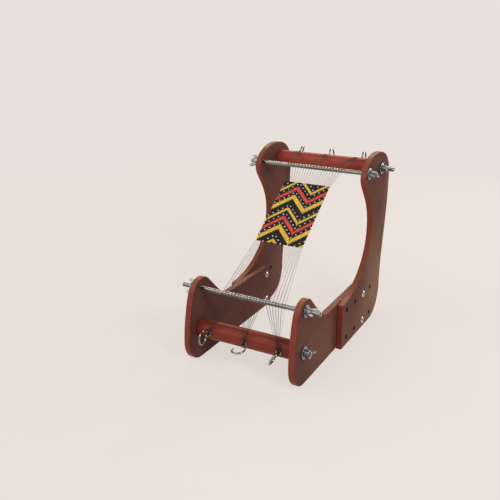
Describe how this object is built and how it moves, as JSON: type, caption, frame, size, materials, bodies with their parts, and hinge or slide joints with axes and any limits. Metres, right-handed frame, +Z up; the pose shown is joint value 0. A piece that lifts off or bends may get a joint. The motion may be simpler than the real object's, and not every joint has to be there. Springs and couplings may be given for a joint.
{
  "type": "bead loom",
  "caption": "Free-standing bead loom: bolted wooden sides, turning dowels with hooks, threaded warp rods with wing nuts, and beadwork strung on its warp.",
  "frame": {"origin": "on the table, under the middle of the loom's overall box", "axes": "+X to the right as seen from the front, +Y from the front warp rod to the rear, +Z up"},
  "size_m": [0.1926, 0.302, 0.2305],
  "materials": {
    "panel_paint": "dark red-brown painted board, satin, brighter red on the edges",
    "dowel_paint": "red painted wood, satin",
    "rod_steel": "bright rolled thread",
    "zinc_plate": "bluish zinc plate",
    "nickel_wire": "nickel plated wire",
    "warp_thread": "thin dark beading thread",
    "seed_beads": "opaque glass seed beads in black, yellow, coral and white"
  },
  "bodies": {
    "frame": {"left_arm": "panel_paint", "right_arm": "panel_paint", "left_post": "panel_paint", "right_post": "panel_paint", "front_warp_rod": "rod_steel", "front_dowel_rod": "rod_steel", "top_warp_rod": "rod_steel", "top_dowel_rod": "rod_steel", "left_connector_screw_lower": "zinc_plate", "left_connector_sleeve_lower": "zinc_plate", "left_connector_screw_upper": "zinc_plate", "left_connector_sleeve_upper": "zinc_plate", "right_connector_screw_lower": "zinc_plate", "right_connector_sleeve_lower": "zinc_plate", "right_connector_screw_upper": "zinc_plate", "right_connector_sleeve_upper": "zinc_plate", "front_warp_left": "warp_thread", "front_warp_middle": "warp_thread", "front_warp_right": "warp_thread", "top_warp_left": "warp_thread", "top_warp_middle": "warp_thread", "top_warp_right": "warp_thread"},
    "front_dowel": {"front_dowel": "dowel_paint", "front_hook_left": "nickel_wire", "front_hook_middle": "nickel_wire", "front_hook_right": "nickel_wire"},
    "top_dowel": {"top_dowel": "dowel_paint", "top_hook_left": "nickel_wire", "top_hook_middle": "nickel_wire", "top_hook_right": "nickel_wire"},
    "beadwork": {"beadwork": "seed_beads"},
    "front_warp_rod_washer_left": {"front_warp_rod_washer_left": "zinc_plate"},
    "front_warp_rod_wing_nut_left": {"front_warp_rod_wing_nut_left": "zinc_plate"},
    "front_warp_rod_washer_right": {"front_warp_rod_washer_right": "zinc_plate"},
    "front_warp_rod_wing_nut_right": {"front_warp_rod_wing_nut_right": "zinc_plate"},
    "front_dowel_rod_washer_left": {"front_dowel_rod_washer_left": "zinc_plate"},
    "front_dowel_rod_wing_nut_left": {"front_dowel_rod_wing_nut_left": "zinc_plate"},
    "front_dowel_rod_washer_right": {"front_dowel_rod_washer_right": "zinc_plate"},
    "front_dowel_rod_wing_nut_right": {"front_dowel_rod_wing_nut_right": "zinc_plate"},
    "top_warp_rod_washer_left": {"top_warp_rod_washer_left": "zinc_plate"},
    "top_warp_rod_wing_nut_left": {"top_warp_rod_wing_nut_left": "zinc_plate"},
    "top_warp_rod_washer_right": {"top_warp_rod_washer_right": "zinc_plate"},
    "top_warp_rod_wing_nut_right": {"top_warp_rod_wing_nut_right": "zinc_plate"},
    "top_dowel_rod_washer_left": {"top_dowel_rod_washer_left": "zinc_plate"},
    "top_dowel_rod_wing_nut_left": {"top_dowel_rod_wing_nut_left": "zinc_plate"},
    "top_dowel_rod_washer_right": {"top_dowel_rod_washer_right": "zinc_plate"},
    "top_dowel_rod_wing_nut_right": {"top_dowel_rod_wing_nut_right": "zinc_plate"}
  },
  "joints": [
    {"name": "front_dowel_turn", "type": "hinge", "parent": "frame", "child": "front_dowel", "pos_m": [0, -0.11681, 0.0395], "axis": [1, 0, 0], "range_deg": [-15, 50], "deforming": ["front_warp_left", "front_warp_middle", "front_warp_right"]},
    {"name": "top_dowel_turn", "type": "hinge", "parent": "frame", "child": "top_dowel", "pos_m": [0, 0.11349, 0.2065], "axis": [1, 0, 0], "range_deg": [-15, 50], "deforming": ["top_warp_left", "top_warp_middle", "top_warp_right"]},
    {"name": "beadwork_feed", "type": "slide", "parent": "frame", "child": "beadwork", "axis": [0, -0.8245, -0.5659], "range_m": [-0.0031, 0.0102]},
    {"name": "front_warp_rod_washer_left_slide", "type": "slide", "parent": "frame", "child": "front_warp_rod_washer_left", "axis": [-1, 0, 0], "range_m": [0, 0.0043]},
    {"name": "front_warp_rod_wing_nut_left_turn", "type": "hinge", "parent": "front_warp_rod_washer_left", "child": "front_warp_rod_wing_nut_left", "pos_m": [-0.0726, -0.11431, 0.088], "axis": [-1, 0, 0], "range_deg": [0, 1440]},
    {"name": "front_warp_rod_washer_right_slide", "type": "slide", "parent": "frame", "child": "front_warp_rod_washer_right", "axis": [1, 0, 0], "range_m": [0, 0.0043]},
    {"name": "front_warp_rod_wing_nut_right_turn", "type": "hinge", "parent": "front_warp_rod_washer_right", "child": "front_warp_rod_wing_nut_right", "pos_m": [0.0726, -0.11431, 0.088], "axis": [1, 0, 0], "range_deg": [0, 1440]},
    {"name": "front_dowel_rod_washer_left_slide", "type": "slide", "parent": "frame", "child": "front_dowel_rod_washer_left", "axis": [-1, 0, 0], "range_m": [0, 0.0043]},
    {"name": "front_dowel_rod_wing_nut_left_turn", "type": "hinge", "parent": "front_dowel_rod_washer_left", "child": "front_dowel_rod_wing_nut_left", "pos_m": [-0.0726, -0.11681, 0.0395], "axis": [-1, 0, 0], "range_deg": [0, 1440]},
    {"name": "front_dowel_rod_washer_right_slide", "type": "slide", "parent": "frame", "child": "front_dowel_rod_washer_right", "axis": [1, 0, 0], "range_m": [0, 0.0043]},
    {"name": "front_dowel_rod_wing_nut_right_turn", "type": "hinge", "parent": "front_dowel_rod_washer_right", "child": "front_dowel_rod_wing_nut_right", "pos_m": [0.0726, -0.11681, 0.0395], "axis": [1, 0, 0], "range_deg": [0, 1440]},
    {"name": "top_warp_rod_washer_left_slide", "type": "slide", "parent": "frame", "child": "top_warp_rod_washer_left", "axis": [-1, 0, 0], "range_m": [0, 0.0043]},
    {"name": "top_warp_rod_wing_nut_left_turn", "type": "hinge", "parent": "top_warp_rod_washer_left", "child": "top_warp_rod_wing_nut_left", "pos_m": [-0.0801, 0.06199, 0.209], "axis": [-1, 0, 0], "range_deg": [0, 1440]},
    {"name": "top_warp_rod_washer_right_slide", "type": "slide", "parent": "frame", "child": "top_warp_rod_washer_right", "axis": [1, 0, 0], "range_m": [0, 0.0043]},
    {"name": "top_warp_rod_wing_nut_right_turn", "type": "hinge", "parent": "top_warp_rod_washer_right", "child": "top_warp_rod_wing_nut_right", "pos_m": [0.0801, 0.06199, 0.209], "axis": [1, 0, 0], "range_deg": [0, 1440]},
    {"name": "top_dowel_rod_washer_left_slide", "type": "slide", "parent": "frame", "child": "top_dowel_rod_washer_left", "axis": [-1, 0, 0], "range_m": [0, 0.0043]},
    {"name": "top_dowel_rod_wing_nut_left_turn", "type": "hinge", "parent": "top_dowel_rod_washer_left", "child": "top_dowel_rod_wing_nut_left", "pos_m": [-0.0801, 0.11349, 0.2065], "axis": [-1, 0, 0], "range_deg": [0, 1440]},
    {"name": "top_dowel_rod_washer_right_slide", "type": "slide", "parent": "frame", "child": "top_dowel_rod_washer_right", "axis": [1, 0, 0], "range_m": [0, 0.0043]},
    {"name": "top_dowel_rod_wing_nut_right_turn", "type": "hinge", "parent": "top_dowel_rod_washer_right", "child": "top_dowel_rod_wing_nut_right", "pos_m": [0.0801, 0.11349, 0.2065], "axis": [1, 0, 0], "range_deg": [0, 1440]}
  ],
  "couplings": [
    {"joint": "top_dowel_turn", "follows": "front_dowel_turn", "ratio": 1},
    {"joint": "beadwork_feed", "follows": "front_dowel_turn", "m_per_rad": 0.0116},
    {"joint": "front_warp_rod_washer_left_slide", "follows": "front_warp_rod_wing_nut_left_turn", "m_per_rad": 0.00016839},
    {"joint": "front_warp_rod_washer_right_slide", "follows": "front_warp_rod_wing_nut_right_turn", "m_per_rad": 0.00016839},
    {"joint": "front_dowel_rod_washer_left_slide", "follows": "front_dowel_rod_wing_nut_left_turn", "m_per_rad": 0.00016839},
    {"joint": "front_dowel_rod_washer_right_slide", "follows": "front_dowel_rod_wing_nut_right_turn", "m_per_rad": 0.00016839},
    {"joint": "top_warp_rod_washer_left_slide", "follows": "top_warp_rod_wing_nut_left_turn", "m_per_rad": 0.00016839},
    {"joint": "top_warp_rod_washer_right_slide", "follows": "top_warp_rod_wing_nut_right_turn", "m_per_rad": 0.00016839},
    {"joint": "top_dowel_rod_washer_left_slide", "follows": "top_dowel_rod_wing_nut_left_turn", "m_per_rad": 0.00016839},
    {"joint": "top_dowel_rod_washer_right_slide", "follows": "top_dowel_rod_wing_nut_right_turn", "m_per_rad": 0.00016839}
  ]
}
